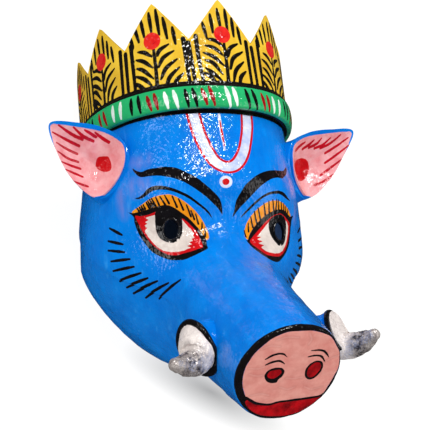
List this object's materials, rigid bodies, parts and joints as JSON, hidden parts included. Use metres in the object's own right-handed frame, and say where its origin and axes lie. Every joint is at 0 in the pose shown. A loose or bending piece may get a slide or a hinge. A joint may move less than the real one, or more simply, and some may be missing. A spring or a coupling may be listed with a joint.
{
  "type": "varaha mask",
  "caption": "Painted papier-mache boar face mask with a long snout, cupped ears, foil covered tusks and a cut card crown.",
  "frame": {"origin": "middle of the mask's outline, on the plane of its open back rim", "axes": "+Z is the way the face looks, away from the open back; +Y runs up the face to the crown; +X is the viewer's right"},
  "size_m": [0.3136, 0.4002, 0.2674],
  "materials": {
    "face_shell": "pasted paper pulp under glossy blue enamel, with painted eyes, brows, whiskers and a pink disc",
    "crown_band": "padded paper roll under glossy green enamel with short brush strokes",
    "crown_card": "cut card under glossy yellow enamel with black leaf strokes and red flowers",
    "ear": "rolled paper under enamel, pink inside and blue behind",
    "tusk": "paper core wrapped in crumpled silvery foil"
  },
  "bodies": {
    "root": {"face_shell": "face_shell", "crown_band": "crown_band", "crown_card": "crown_card", "ear_left": "ear", "ear_right": "ear", "tusk_left": "tusk", "tusk_right": "tusk"}
  },
  "joints": []
}
